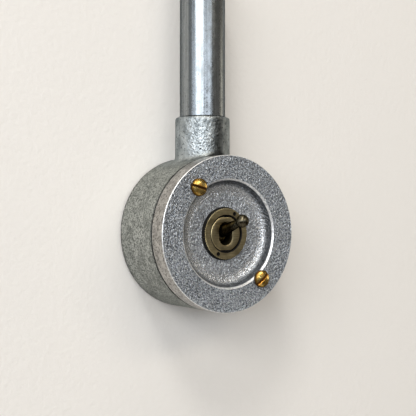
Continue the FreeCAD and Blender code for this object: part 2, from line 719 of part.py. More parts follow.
def make_mechanism_housing():
    """Moulded housing, open at the back, with notches for the three terminal straps."""
    body = new_body("mechanism_housing")
    half_width = "(Dim.housing_width / 2)"
    half_height = "(Dim.housing_height / 2)"
    block = new_sketch(body, "XZ_Plane", COVER_FRONT)
    draw_rectangle(block, f"-{half_width}", f"-{half_height}", half_width, half_height)
    add_feature(body, "Pad", block, f"{HOUSING_FRONT} - {COVER_FRONT}")
    dress_edges(body, "Fillet", "Dim.housing_corner", is_long_in_depth)

    bore = new_sketch(body, "XZ_Plane", HOUSING_FRONT)
    draw_circle(bore, "0", "0", "Dim.skirt_radius + Dim.housing_clearance")
    add_feature(body, "Pocket", bore, "Dim.housing_front_wall")
    cavity = new_sketch(body, "XZ_Plane", COVER_FRONT)
    draw_rectangle(cavity, "-Dim.cavity_width / 2", "-Dim.cavity_height / 2",
                   "Dim.cavity_width / 2", "Dim.cavity_height / 2")
    add_feature(body, "Pocket", cavity, f"{CAVITY_FRONT} - {COVER_FRONT}", reverse=True)

    notches = new_sketch(body, "XZ_Plane", COVER_FRONT)
    side = "(Dim.strap_width / 2 + Dim.strap_notch_clearance)"
    inner_end = "(Dim.cavity_height / 2 - Dim.strap_notch_clearance)"
    inner_side = "(Dim.cavity_width / 2 - Dim.strap_notch_clearance)"
    draw_rectangle(notches, f"-{side}", inner_end, side, f"2 * {half_height}")
    draw_rectangle(notches, f"-{side}", f"-2 * {half_height}", side, f"-{inner_end}")
    draw_rectangle(notches, inner_side, f"-{side}", f"2 * {half_width}", side)
    add_feature(body, "Pocket", notches, "Dim.strap_thickness + Dim.housing_clearance", reverse=True)
    return body


def is_long_in_depth(edge):
    """Whether an edge is straight and runs front to back."""
    box = edge.BoundBox
    return isinstance(edge.Curve, Part.Line) and box.YLength > box.XLength + box.ZLength


def make_rear_cover():
    """Moulded plate that closes the housing and carries the terminals."""
    body = new_body("rear_cover")
    half_width = "(Dim.housing_width / 2)"
    half_height = "(Dim.housing_height / 2)"
    plate = new_sketch(body, "XZ_Plane", COVER_BACK)
    draw_rectangle(plate, f"-{half_width}", f"-{half_height}", half_width, half_height)
    add_feature(body, "Pad", plate, "Dim.cover_thickness")
    dress_edges(body, "Fillet", "Dim.housing_corner", is_long_in_depth)
    return body


def make_dolly():
    """Turned brass lever: ball knob, tapered shank, pivot ball and drilled tail."""
    knob_root = "sqrt(Dim.knob_radius ^ 2 - Dim.neck_radius ^ 2)"
    shank_root = "sqrt(Dim.dolly_ball_radius ^ 2 - Dim.shank_radius ^ 2)"
    tail_root = "sqrt(Dim.dolly_ball_radius ^ 2 - Dim.tail_radius ^ 2)"
    bore_end = "(Dim.tail_length - Dim.tail_bore_depth)"
    body = turn_profile("dolly", [
        ("0", "-(Dim.lever_length + Dim.knob_radius)", ("0", "-Dim.lever_length"), "left"),
        ("Dim.neck_radius", f"-(Dim.lever_length - {knob_root})"),
        ("Dim.shank_radius", f"-{shank_root}", ("0", "0"), "left"),
        ("Dim.tail_radius", tail_root),
        ("Dim.tail_radius", "Dim.tail_length"),
        ("Dim.tail_bore_radius", "Dim.tail_length"),
        ("Dim.tail_bore_radius", bore_end),
        ("0", bore_end),
    ])
    cross_hole = new_sketch(body, "YZ_Plane")
    draw_circle(cross_hole, "0", "0", "Dim.pin_radius + Dim.running_clearance")
    add_feature(body, "Pocket", cross_hole, "3 * Dim.dolly_ball_radius", both_ways=True)
    place(body, depth=PIVOT_DEPTH, tilt="-Dim.throw / 2")
    return body


def make_dolly_pivot_pin():
    """Steel pin across the bush, on which the dolly swings."""
    pin = doc.addObject("Part::Cylinder", "dolly_pivot_pin")
    pin.Label = "dolly_pivot_pin"
    pin.setExpression("Radius", "Dim.pin_radius")
    pin.setExpression("Height", "Dim.pin_length")
    pin.Placement = Placement(Vector(0, 0, 0), Rotation(Vector(0, 1, 0), 90))
    pin.setExpression("Placement.Base.x", "-Dim.pin_length / 2")
    pin.setExpression("Placement.Base.y", f"-{PIVOT_DEPTH}")
    return pin


def make_tail_insulator():
    """Nylon plug in the dolly's tail, ending in the ball that seats the spring."""
    ball_root = "sqrt(Dim.seat_radius ^ 2 - Dim.seat_neck_radius ^ 2)"
    stem = "(Dim.tail_bore_radius - Dim.running_clearance)"
    stem_end = "(Dim.tail_length - Dim.tail_bore_depth + Dim.running_clearance)"
    collar_end = "(Dim.tail_length + Dim.tail_collar)"
    body = turn_profile("tail_insulator", [
        ("0", stem_end),
        (stem, stem_end),
        (stem, "Dim.tail_length"),
        ("Dim.tail_radius", "Dim.tail_length"),
        ("Dim.tail_radius", collar_end),
        ("Dim.seat_neck_radius", collar_end),
        ("Dim.seat_neck_radius", f"Dim.seat_distance - {ball_root}", ("0", "Dim.seat_distance"), "left"),
        ("0", "Dim.seat_distance + Dim.seat_radius"),
    ])
    place(body, depth=PIVOT_DEPTH, tilt="-Dim.throw / 2")
    return body


def make_toggle_spring():
    """Coil spring between the tail's ball and the rocker's pip, which snaps the rocker over."""
    tail_depth = at(f"{PIVOT_DEPTH} - Dim.seat_distance * cos(Dim.throw / 2)")
    tail_up = at("-Dim.seat_distance * sin(Dim.throw / 2)")
    pip_depth = at(f"{FULCRUM_DEPTH} + Dim.pip_distance * cos(Dim.rocker_tilt)")
    pip_up = at("Dim.pip_distance * sin(Dim.rocker_tilt)")
    tail_seat = Vector(0, -tail_depth, tail_up)
    line = Vector(0, -pip_depth, pip_up) - tail_seat
    reach = at("sqrt((Dim.seat_radius + Dim.wire_radius) ^ 2 - Dim.coil_radius ^ 2) + Dim.coil_end_gap")
    height = line.Length - 2 * reach
    helix = Part.makeHelix(height / at("Dim.coil_turns"), height, at("Dim.coil_radius"))
    section = make_wire_section(helix.Edges[0])
    spring = doc.addObject("Part::Feature", "toggle_spring")
    spring.Label = "toggle_spring"
    spring.Shape = Part.Wire(helix.Edges).makePipeShell([section], True, True)
    along = line.normalize()
    spring.Placement = Placement(tail_seat + along * reach, Rotation(Vector(0, 0, 1), along))
    return spring


def make_wire_section(spine):
    """The end of the spring wire, a many-sided outline square to the start of its helix."""
    start = spine.valueAt(spine.FirstParameter)
    heading = spine.tangentAt(spine.FirstParameter)
    outward = Vector(start.x, start.y, 0).normalize()
    upward = heading.cross(outward)
    sides = round(at("Dim.wire_sides"))
    corners = []
    for number in range(sides + 1):
        angle = 2 * math.pi * (number % sides) / sides
        spoke = outward * math.cos(angle) + upward * math.sin(angle)
        corners.append(start + spoke * at("Dim.wire_radius"))
    return Part.makePolygon(corners)


def make_rocker_contact():
    """Brass rocker: a strip with a half-round seat over the fulcrum and a pip for the spring."""
    body = new_body("rocker_contact")
    front = "Dim.rocker_boss_radius"
    back = f"({front} - Dim.rocker_thickness)"
    turn_pip(body, front)
    strip = new_sketch(body, "YZ_Plane")
    draw_rectangle(strip, f"-{front}", "-Dim.rocker_length / 2", f"-{back}", "Dim.rocker_length / 2")
    add_feature(body, "Pad", strip, "Dim.rocker_width", both_ways=True)
    boss = new_sketch(body, "YZ_Plane")
    draw_circle(boss, "0", "0", "Dim.rocker_boss_radius")
    add_feature(body, "Pad", boss, "Dim.rocker_width", both_ways=True)
    seat = new_sketch(body, "YZ_Plane")
    draw_circle(seat, "0", "0", "Dim.fulcrum_radius + Dim.running_clearance")
    add_feature(body, "Pocket", seat, "2 * Dim.rocker_width", both_ways=True)
    opening = new_sketch(body, "YZ_Plane")
    draw_rectangle(opening, "Dim.rocker_saddle_open", f"-2 * {front}", f"2 * {front}", f"2 * {front}")
    add_feature(body, "Pocket", opening, "2 * Dim.rocker_width", both_ways=True)
    place(body, depth=FULCRUM_DEPTH, tilt="-Dim.rocker_tilt")
    return body


def turn_pip(body, front):
    """The pip on the rocker, a ball on a short neck."""
    ball_root = "sqrt(Dim.seat_radius ^ 2 - Dim.seat_neck_radius ^ 2)"
    pip = new_sketch(body, "XY_Plane")
    foot = f"({front} - Dim.rocker_thickness / 2)"
    draw_outline(pip, [
        ("0", "-(Dim.pip_distance + Dim.seat_radius)", ("0", "-Dim.pip_distance"), "left"),
        ("Dim.seat_neck_radius", f"-(Dim.pip_distance - {ball_root})"),
        ("Dim.seat_neck_radius", f"-{foot}"),
        ("0", f"-{foot}"),
    ])
    add_feature(body, "Revolution", pip)


def make_group(name, members):
    """One node that holds several separate solids."""
    group = doc.addObject("Part::Compound", name)
    group.Label = name
    group.Links = members
    return group


def make_contact_tip(name, depth, up):
    """A silver contact, turned, with its axis front to back and its back face at a depth."""
    tip = doc.addObject("Part::Cylinder", name)
    tip.setExpression("Radius", "Dim.tip_radius")
    tip.setExpression("Height", "Dim.tip_thickness")
    tip.Placement = Placement(Vector(0, 0, 0), Rotation(Vector(1, 0, 0), 90))
    tip.setExpression("Placement.Base.y", f"-{depth}")
    tip.setExpression("Placement.Base.z", up)
    return tip


def make_contact_tips():
    """Silver contacts: a pair that rocks with the rocker and a pair on the two way terminals."""
    places = ("Dim.tip_centre", "-Dim.tip_centre")
    moving = [make_contact_tip("moving_tip", MOVING_TIP_BACK, up) for up in places]
    fixed = [make_contact_tip("fixed_tip", STRAP_FRONT, up) for up in places]
    moving_tips = make_group("moving_contact_tips", moving)
    place(moving_tips, depth=FULCRUM_DEPTH, tilt="-Dim.rocker_tilt")
    return [moving_tips, make_group("fixed_contact_tips", fixed)]


def make_way_terminal(name, sign):
    """Brass strap from a fixed contact out past the end of the housing to its screw."""
    body = new_body(name)
    strap = new_sketch(body, "XZ_Plane", COVER_FRONT)
    ends = ["Dim.strap_inner_end", "Dim.strap_reach"]
    if sign < 0:
        ends = ["-Dim.strap_reach", "-Dim.strap_inner_end"]
    draw_rectangle(strap, "-Dim.strap_width / 2", ends[0], "Dim.strap_width / 2", ends[1])
    centre = "(Dim.strap_reach - Dim.terminal_screw_inset)"
    hole_up = centre if sign > 0 else f"-{centre}"
    draw_circle(strap, "0", hole_up, "Dim.terminal_screw_radius + Dim.thread_clearance")
    add_feature(body, "Pad", strap, "Dim.strap_thickness")
    return body


def make_common_terminal():
    """Brass strap with two ears and the fulcrum bar, led out at the side of the housing."""
    body = new_body("terminal_common")
    ear_inner = "(Dim.rocker_width / 2 + Dim.ear_gap)"
    ear_outer = f"({ear_inner} + Dim.ear_thickness)"
    strap = new_sketch(body, "XZ_Plane", COVER_FRONT)
    draw_rectangle(strap, f"-{ear_outer}", "-Dim.strap_width / 2", "Dim.common_reach", "Dim.strap_width / 2")
    draw_circle(strap, "Dim.common_reach - Dim.terminal_screw_inset", "0",
                "Dim.terminal_screw_radius + Dim.thread_clearance")
    add_feature(body, "Pad", strap, "Dim.strap_thickness")
    ears = new_sketch(body, "XZ_Plane", STRAP_FRONT)
    draw_rectangle(ears, ear_inner, "-Dim.ear_width / 2", ear_outer, "Dim.ear_width / 2")
    draw_rectangle(ears, f"-{ear_outer}", "-Dim.ear_width / 2", f"-{ear_inner}", "Dim.ear_width / 2")
    add_feature(body, "Pad", ears, f"{FULCRUM_DEPTH} - {STRAP_FRONT} + Dim.fulcrum_radius")
    bar = new_sketch(body, "YZ_Plane")
    draw_circle(bar, f"-{FULCRUM_DEPTH}", "0", "Dim.fulcrum_radius")
    add_feature(body, "Pad", bar, f"2 * {ear_outer}", both_ways=True)
    return body


def make_terminal_fasteners():
    """Three terminal screws, driven from behind, each over a clamping washer."""
    way_up = "(Dim.strap_reach - Dim.terminal_screw_inset)"
    side = "(Dim.common_reach - Dim.terminal_screw_inset)"
    spots = [("0", way_up), ("0", f"-{way_up}"), (side, "0")]
    washer_back = f"({COVER_FRONT} - Dim.terminal_washer_thickness)"
    bore = "(Dim.terminal_screw_radius + Dim.thread_clearance)"
    screws = []
    washers = []
    for across, up in spots:
        screw = make_screw("terminal_screw", "Dim.terminal_screw_radius", "Dim.terminal_screw_length",
                           "Dim.terminal_head_radius", "Dim.terminal_head_side", "Dim.terminal_head_dome",
                           "Dim.terminal_slot_width", "Dim.terminal_slot_depth", "0")
        place(screw, across, washer_back, up, "180")
        screws.append(screw)
        washer = make_washer("terminal_washer", "Dim.terminal_washer_radius", bore,
                             "Dim.terminal_washer_thickness")
        place(washer, across, washer_back, up)
        washers.append(washer)
    return [make_group("terminal_screws", screws), make_group("terminal_washers", washers)]


def make_washer(name, radius, bore, thickness):
    """A flat washer whose back face is at y = 0."""
    body = new_body(name)
    ring = new_sketch(body, "XZ_Plane")
    draw_circle(ring, "0", "0", radius)
    draw_circle(ring, "0", "0", bore)
    add_feature(body, "Pad", ring, thickness)
    return body


def make_earth_terminal():
    """Brass earth screw and washer on the boss in the floor of the box."""
    boss_front = "(Dim.box_floor + Dim.earth_boss_height)"
    washer = make_washer("earth_washer", "Dim.earth_washer_radius",
                         "Dim.screw_radius + Dim.screw_hole_clearance", "Dim.earth_washer_thickness")
    place(washer, "Dim.earth_across", boss_front, "Dim.earth_up")
    screw = make_screw("earth_screw", "Dim.screw_radius", "Dim.earth_screw_length", "Dim.head_radius",
                       "Dim.earth_head_side", "Dim.earth_head_dome", "Dim.head_slot_width",
                       "Dim.head_slot_depth", "Dim.lower_slot_angle")
    place(screw, "Dim.earth_across", f"({boss_front} + Dim.earth_washer_thickness)", "Dim.earth_up")
    return [screw, washer]


pieces = [
    make_conduit_box(),
    make_conduit_tube(),
    make_lid_gasket(),
    make_lid(),
    *make_lid_screws(),
    make_ring_nut(),
    make_threaded_bush(),
    make_lock_washer(),
    make_mounting_saddle(),
    make_mechanism_housing(),
    make_rear_cover(),
    make_dolly(),
    make_dolly_pivot_pin(),
    make_tail_insulator(),
    make_toggle_spring(),
    make_rocker_contact(),
    *make_contact_tips(),
    make_common_terminal(),
    make_way_terminal("terminal_upper", 1),
    make_way_terminal("terminal_lower", -1),
    *make_terminal_fasteners(),
    *make_earth_terminal(),
]
doc.recompute()

failed = [item.Name for item in doc.Objects if "Invalid" in item.State or "Error" in item.State]
if failed:
    raise RuntimeError(f"failed objects: {failed}")
for piece in pieces:
    if piece.Shape.isNull() or not piece.Shape.isValid() or not piece.Shape.Solids:
        raise RuntimeError(f"{piece.Label} has no valid solid")

os.makedirs("parts", exist_ok=True)
for piece in pieces:
    piece.Shape.exportStep(f"parts/{piece.Label}.step")
    box = piece.Shape.BoundBox
    spans = ((box.XMin, box.XMax), (box.YMin, box.YMax), (box.ZMin, box.ZMax))
    extent = "  ".join(f"{low:6.1f} {high:6.1f}" for low, high in spans)
    print(f"{piece.Label:22s} volume {piece.Shape.Volume:9.1f} box {extent}")
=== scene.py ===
import math

import bmesh
import bpy
from mathutils import Matrix, Vector, noise


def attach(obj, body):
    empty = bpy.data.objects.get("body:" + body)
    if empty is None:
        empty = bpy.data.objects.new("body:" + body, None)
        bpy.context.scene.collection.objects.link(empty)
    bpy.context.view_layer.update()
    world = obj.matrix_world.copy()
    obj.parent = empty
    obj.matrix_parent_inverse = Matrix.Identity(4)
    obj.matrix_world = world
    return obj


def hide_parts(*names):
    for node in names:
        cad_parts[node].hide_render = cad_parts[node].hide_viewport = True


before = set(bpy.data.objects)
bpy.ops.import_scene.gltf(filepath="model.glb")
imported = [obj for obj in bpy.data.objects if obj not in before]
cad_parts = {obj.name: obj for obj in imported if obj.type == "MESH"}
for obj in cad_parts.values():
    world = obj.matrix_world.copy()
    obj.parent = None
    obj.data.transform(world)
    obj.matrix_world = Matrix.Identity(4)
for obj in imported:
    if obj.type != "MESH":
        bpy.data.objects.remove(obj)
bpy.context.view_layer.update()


# Conduit box
# A round malleable-iron casting with its spout cast on, dipped in molten zinc.
# The dip leaves it dull grey, softly mottled, with fine runs down the side and a few dark specks.
# It stands with its back on the wall and carries everything else.

MM = 0.001
WELD = 0.0005 * MM
BOX_DEPTH = 27
SPOUT_START = 28
SPOUT_CLEAR = 36
STAND_UP = Matrix.Rotation(math.radians(90), 4, "X")


def linear(code):
    """An sRGB hex colour as linear red, green, blue and alpha."""
    channels = [int(code[first:first + 2], 16) / 255 for first in (1, 3, 5)]
    return [c / 12.92 if c <= 0.04045 else ((c + 0.055) / 1.055) ** 2.4 for c in channels] + [1.0]


def add(tree, kind, sockets, **settings):
    """Add a shader node. Each entry of sockets is an input's value, or an output to link to it."""
    node = tree.nodes.new("ShaderNode" + kind)
    for name, value in settings.items():
        setattr(node, name, value)
    for name, value in sockets.items():
        if isinstance(value, bpy.types.NodeSocket):
            tree.links.new(value, node.inputs[name])
        else:
            node.inputs[name].default_value = value
    return node


def start_material(name, metallic, roughness):
    """A material, its node tree, its shader and the place on the object that patterns read."""
    material = bpy.data.materials.new(name)
    material.use_nodes = True
    tree = material.node_tree
    shader = tree.nodes["Principled BSDF"]
    shader.inputs["Metallic"].default_value = metallic
    shader.inputs["Roughness"].default_value = roughness
    return material, tree, shader, add(tree, "TexCoord", {}).outputs["Object"]


def plain_material(name, metallic, roughness, code):
    """A material of one even colour."""
    material, _, shader, _ = start_material(name, metallic, roughness)
    shader.inputs["Base Color"].default_value = linear(code)
    return material


def speckle(tree, place, size, detail=2.0, stretch=(1, 1, 1)):
    """Noise about 0.5 whose grain is a size in millimetres, drawn out along an axis by its stretch."""
    scale = [1 / (size * MM * along) for along in stretch]
    mapped = add(tree, "Mapping", {"Vector": place, "Scale": scale}).outputs["Vector"]
    return add(tree, "TexNoise", {"Vector": mapped, "Scale": 1.0, "Detail": detail}).outputs["Fac"]


def remap(tree, value, low, high, to_low, to_high):
    """A value stretched from one range to another and held inside it."""
    sockets = {"Value": value, "From Min": low, "From Max": high, "To Min": to_low, "To Max": to_high}
    return add(tree, "MapRange", sockets).outputs["Result"]


def calculate(tree, operation, first, second=0.0):
    """Arithmetic on two values."""
    return add(tree, "Math", {0: first, 1: second}, operation=operation).outputs[0]


def band(tree, value, middle, core, reach, strength):
    """A strength within a core distance of a middle value, falling to nothing at its reach."""
    distance = calculate(tree, "ABSOLUTE", calculate(tree, "SUBTRACT", value, middle))
    return remap(tree, distance, core, reach, strength, 0)


def blend(tree, share, first, second):
    """One colour turning into another as the share goes from 0 to 1."""
    return add(tree, "Mix", {0: share, 6: first, 7: second}, data_type="RGBA").outputs[2]


def raise_surface(tree, shader, height, depth):
    """Bump by a height of 0 to 1 that stands for a depth in millimetres."""
    bump = add(tree, "Bump", {"Height": height, "Distance": depth * MM, "Strength": 1.0})
    tree.links.new(bump.outputs["Normal"], shader.inputs["Normal"])


def finish(name, bm, materials, body, sharp=35):
    """Make a piece of a bmesh and stand it for its CAD node. Edges sharper than an angle stay crisp."""
    bmesh.ops.remove_doubles(bm, verts=bm.verts[:], dist=WELD)
    bmesh.ops.recalc_face_normals(bm, faces=bm.faces[:])
    for face in bm.faces:
        face.smooth = True
    for edge in bm.edges:
        edge.smooth = edge.calc_face_angle(0) < math.radians(sharp)
    mesh = bpy.data.meshes.new(name)
    bm.to_mesh(mesh)
    bm.free()
    for material in materials:
        mesh.materials.append(material)
    piece = bpy.data.objects.new(name + "_piece", mesh)
    bpy.context.scene.collection.objects.link(piece)
    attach(piece, body)
    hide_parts(name)
    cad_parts[name].data.materials[0] = materials[0]
    return piece


def evaluated(bm, kind, **settings):
    """The bmesh after one modifier has worked on it."""
    mesh = bpy.data.meshes.new("work")
    bm.to_mesh(mesh)
    bm.free()
    item = bpy.data.objects.new("work", mesh)
    bpy.context.scene.collection.objects.link(item)
    modifier = item.modifiers.new("work", kind)
    for key, value in settings.items():
        setattr(modifier, key, value)
    result = bmesh.new()
    result.from_object(item, bpy.context.evaluated_depsgraph_get())
    bpy.data.objects.remove(item)
    return result


# Dull zinc over iron: soft grey-green clouds, finer mottle and dark pinholes on the drum. The zinc ran
# thick and bright down the spout, which shines as if hammered.
zinc_cast, tree, shader, place = start_material("dipped_zinc_casting", 0.8, 0.5)
shader.inputs["Specular Tint"].default_value = linear("#8C908E")
height = add(tree, "SeparateXYZ", {"Vector": place})
bright = remap(tree, height.outputs["Z"], SPOUT_START * MM, SPOUT_CLEAR * MM, 0, 1)
clouds = speckle(tree, place, 3.2, 3.0, (1, 1, 1.8))
mottle = speckle(tree, place, 0.8, 4.0)
dull = blend(tree, remap(tree, clouds, 0.35, 0.65, 0, 1), linear("#A5A8A3"), linear("#CBCDC8"))
dull = blend(tree, remap(tree, mottle, 0.4, 0.6, 0.85, 0), dull, linear("#5F625F"))
shiny = blend(tree, remap(tree, clouds, 0.35, 0.65, 0, 1), linear("#8E9598"), linear("#BFC6C9"))
shiny = blend(tree, remap(tree, mottle, 0.54, 0.64, 0, 0.4), shiny, linear("#4E5656"))
colour = blend(tree, bright, dull, shiny)
pits = speckle(tree, place, 0.8, 1.0)
colour = blend(tree, remap(tree, pits, 0.67, 0.73, 0, 0.85), colour, linear("#2A2B28"))
# The last 0.7 mm of the box's side by the lid is painted near black: painted shade in the joint
joint_shade = remap(tree, height.outputs["Y"], (0.1 - BOX_DEPTH) * MM, (0.7 - BOX_DEPTH) * MM, 0.9, 0)
colour = blend(tree, joint_shade, colour, linear("#1E1F1D"))
tree.links.new(colour, shader.inputs["Base Color"])
tree.links.new(remap(tree, bright, 0, 1, 0.8, 1), shader.inputs["Metallic"])
worn = remap(tree, mottle, 0.3, 0.7, 0.38, 0.6)
gloss = remap(tree, mottle, 0.3, 0.7, 0.32, 0.5)
tree.links.new(add(tree, "Mix", {0: bright, 2: worn, 3: gloss}).outputs[0], shader.inputs["Roughness"])
hammered = speckle(tree, place, 0.9, 3.0, (1, 1, 1.2))
sanded = speckle(tree, place, 0.55, 4.0)
relief = add(tree, "Mix", {0: bright, 2: sanded, 3: calculate(tree, "MULTIPLY", hammered, 2.6)})
raise_surface(tree, shader, relief.outputs[0], 0.16)

# The CAD casting, remeshed finely so that its corners soften, then given the waves of a dipped casting
box_mesh = bmesh.new()
box_mesh.from_mesh(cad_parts["conduit_box"].data)
bmesh.ops.remove_doubles(box_mesh, verts=box_mesh.verts[:], dist=0.002 * MM)
box_mesh = evaluated(box_mesh, "REMESH", mode="VOXEL", voxel_size=0.55 * MM, use_smooth_shade=True)
bmesh.ops.smooth_vert(box_mesh, verts=box_mesh.verts[:], factor=0.5,
                      use_axis_x=True, use_axis_y=True, use_axis_z=True)
box_mesh.normal_update()
for vertex in box_mesh.verts:
    waves = noise.noise(vertex.co / (6 * MM)) + 0.5 * noise.noise(vertex.co / (2 * MM))
    vertex.co -= vertex.normal * (0.05 + 0.04 * waves) * MM
    vertex.co.y = min(0, max(-BOX_DEPTH * MM, vertex.co.y))
finish("conduit_box", box_mesh, [zinc_cast], "switch_body", sharp=60)


# Conduit
# A 20 mm seam-welded steel tube, zinc-coated bright, its ends cut with a 1.5 mm pitch thread.
# It screws into the spout, and its free end takes the next coupler.

SPOUT_DEPTH = 14.8
TUBE_RADIUS = 10
TUBE_BORE = 8.4
TUBE_THREAD = 9.75
TUBE_FOOT = 37
TUBE_TOP = 120
TUBE_PITCH = 1.5


def trace(bm, outline):
    """Draw an outline of (x, y) points in millimetres as a chain of edges.

    A third number on a point cuts the line up to it into cells of that size. A point that starts with
    "arc" swings the last point about a centre (x, y) through an angle in a number of steps.
    """
    last = bm.verts.new((outline[0][0] * MM, outline[0][1] * MM, 0))
    for corner in outline[1:]:
        if corner[0] == "arc":
            centre = (corner[1] * MM, corner[2] * MM, 0)
            swept = bmesh.ops.spin(bm, geom=[last], cent=centre, axis=(0, 0, 1),
                                   angle=math.radians(corner[3]), steps=corner[4])
            last = [item for item in swept["geom_last"] if isinstance(item, bmesh.types.BMVert)][0]
            continue
        run = Vector((corner[0] * MM, corner[1] * MM, 0)) - last.co
        cells = max(1, round(run.length / (corner[2] * MM))) if len(corner) == 3 else 1
        for _ in range(cells):
            grown = bmesh.ops.extrude_vert_indiv(bm, verts=[last])["verts"]
            bmesh.ops.translate(bm, verts=grown, vec=run / cells)
            last = grown[0]


def turned(outline, steps):
    """A bmesh turned about the Z axis from an outline of (radius, height) points."""
    bm = bmesh.new()
    trace(bm, outline)
    bmesh.ops.transform(bm, matrix=STAND_UP, verts=bm.verts[:])
    bmesh.ops.spin(bm, geom=bm.verts[:] + bm.edges[:], cent=(0, 0, 0), axis=(0, 0, 1),
                   angle=math.tau, steps=steps, use_merge=True)
    bmesh.ops.remove_doubles(bm, verts=bm.verts[:], dist=WELD)
    bmesh.ops.recalc_face_normals(bm, faces=bm.faces[:])
    return bm


def cut_thread(bm, radius, first, last, pitch, depth):
    """Cut a helical vee thread into the wall of a radius between two heights, all in millimetres."""
    for vertex in bm.verts:
        across = math.hypot(vertex.co.x, vertex.co.y) / MM
        height = vertex.co.z / MM
        if abs(across - radius) > 0.02 or not first - 0.01 <= height <= last + 0.01:
            continue
        turn = (height / pitch - math.atan2(vertex.co.y, vertex.co.x) / math.tau) % 1
        fade = min(1, (height - first) / pitch, (last - height) / pitch)
        groove = depth * abs(2 * turn - 1) * max(0, fade)
        vertex.co.x *= 1 - groove / across
        vertex.co.y *= 1 - groove / across


# Bright zinc on a drawn tube: long fine streaks, a weld seam, and pinholes where the coating is thin
# near the spout. Two dark stripes down it are painted reflections.
zinc_tube, tree, shader, place = start_material("bright_zinc_tube", 1.0, 0.24)
shader.inputs["Specular Tint"].default_value = linear("#7E8284")
axes = add(tree, "SeparateXYZ", {"Vector": place}).outputs
behind = calculate(tree, "SUBTRACT", -SPOUT_DEPTH * MM, axes["Y"])
bearing = calculate(tree, "ARCTAN2", axes["X"], behind)
streaks = speckle(tree, place, 0.7, 3.0, (1, 1, 60))
spangle = speckle(tree, place, 2.2, 2.0, (1, 1, 1.5))
colour = blend(tree, remap(tree, streaks, 0.3, 0.7, 0, 1), linear("#7E8283"), linear("#A2A7AA"))
colour = blend(tree, remap(tree, spangle, 0.55, 0.75, 0, 0.3), colour, linear("#6A7072"))
# A broad dark stripe down the tube's left side: a painted dark reflection
colour = blend(tree, band(tree, bearing, -1.15, 0.04, 0.12, 0.65), colour, linear("#3A434A"))
# A faint dark line near the weld seam: a painted dark reflection
colour = blend(tree, band(tree, bearing, -0.47, 0.02, 0.07, 0.12), colour, linear("#4A5258"))
near_spout = remap(tree, axes["Z"], 58 * MM, 72 * MM, 1, 0)
pits = calculate(tree, "MULTIPLY_ADD", near_spout, 0.07)
tree.links.new(speckle(tree, place, 0.8, 1.0), pits.node.inputs[2])
colour = blend(tree, remap(tree, pits, 0.74, 0.78, 0, 0.85), colour, linear("#33332F"))
beads = remap(tree, speckle(tree, place, 0.9, 1.0, (30, 30, 1)), 0.48, 0.56, 0, 1)
seam = calculate(tree, "MULTIPLY", band(tree, bearing, -0.385, 0.012, 0.035, 0.9), beads)
colour = blend(tree, calculate(tree, "MULTIPLY", seam, near_spout), colour, linear("#2A2826"))
tree.links.new(colour, shader.inputs["Base Color"])
tree.links.new(remap(tree, spangle, 0.3, 0.7, 0.2, 0.32), shader.inputs["Roughness"])
raise_surface(tree, shader, speckle(tree, place, 0.9, 3.0, (1, 1, 3)), 0.02)

tube_mesh = turned([(TUBE_BORE, TUBE_FOOT), (9.25, TUBE_FOOT), (TUBE_THREAD, 37.5),
                    (TUBE_THREAD, 51, 0.25), (TUBE_RADIUS, 51.25), (TUBE_RADIUS, 78),
                    (TUBE_RADIUS, 104.75), (TUBE_THREAD, 105), (TUBE_THREAD, 119.5, 0.25),
                    (9.25, TUBE_TOP), (8.7, TUBE_TOP), (TUBE_BORE, 119.7), (TUBE_BORE, TUBE_FOOT)], 128)
for zone in ((37.5, 51), (105, 119.5)):
    cut_thread(tube_mesh, TUBE_THREAD, *zone, TUBE_PITCH, 0.55)
bmesh.ops.translate(tube_mesh, verts=tube_mesh.verts[:], vec=(0, -SPOUT_DEPTH * MM, 0))
finish("conduit_tube", tube_mesh, [zinc_tube], "switch_body")


# Gasket
# A ring punched from black rubber sheet, nipped between the box and the lid.

rubber, tree, shader, place = start_material("black_rubber_sheet", 0.0, 0.9)
shader.inputs["Base Color"].default_value = linear("#0E0D0C")
raise_surface(tree, shader, speckle(tree, place, 0.3), 0.03)
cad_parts["lid_gasket"].data.materials[0] = rubber


# Lid
# A dished aluminium casting. Its face and dish are left as they came from the sand, coarse and
# glittering; its rim and the lip of the dish are turned bright on the lathe.
# Two screws hold it down on the gasket, and the switch hangs from the middle of its floor.

LID_BACK = 27.8
LID_FRONT = 36.1
LID_CORE = 28.5
LID_RADIUS = 33.5
RIM_START = 33.22
DISH_FLOOR = 31.5
DISH_WALL = 22.72
LIP_RADIUS = 23.1
SEAT_RADIUS = 11.55
SCREW_CIRCLE = 25.4
SCREW_ANGLE = 50.46


def slab(outline, low, high):
    """A bmesh drawn round a closed outline of (x, y) points and drawn up from one height to another."""
    bm = bmesh.new()
    trace(bm, outline)
    bmesh.ops.remove_doubles(bm, verts=bm.verts[:], dist=WELD)
    face = bmesh.ops.contextual_create(bm, geom=bm.edges[:])["faces"]
    bmesh.ops.translate(bm, verts=bm.verts[:], vec=(0, 0, low * MM))
    lifted = bmesh.ops.extrude_face_region(bm, geom=face)["geom"]
    tops = [item for item in lifted if isinstance(item, bmesh.types.BMVert)]
    bmesh.ops.translate(bm, verts=tops, vec=(0, 0, (high - low) * MM))
    bmesh.ops.recalc_face_normals(bm, faces=bm.faces[:])
    return bm


def combine(bm, other, how):
    """Cut another bmesh out of this one, or join it on."""
    mesh = bpy.data.meshes.new("tool")
    other.to_mesh(mesh)
    other.free()
    tool = bpy.data.objects.new("tool", mesh)
    bpy.context.scene.collection.objects.link(tool)
    result = evaluated(bm, "BOOLEAN", object=tool, operation=how, solver="EXACT")
    bpy.data.objects.remove(tool)
    return result


def moved(bm, across=0, up=0, turn=0):
    """The bmesh turned about the Z axis and moved across it, in degrees and millimetres."""
    place = Matrix.Translation((across * MM, up * MM, 0)) @ Matrix.Rotation(math.radians(turn), 4, "Z")
    bmesh.ops.transform(bm, matrix=place, verts=bm.verts[:])
    return bm


def rod(radius, low, high, steps=48):
    """A round bar along the Z axis."""
    return turned([(0, low), (radius, low), (radius, high), (0, high)], steps)


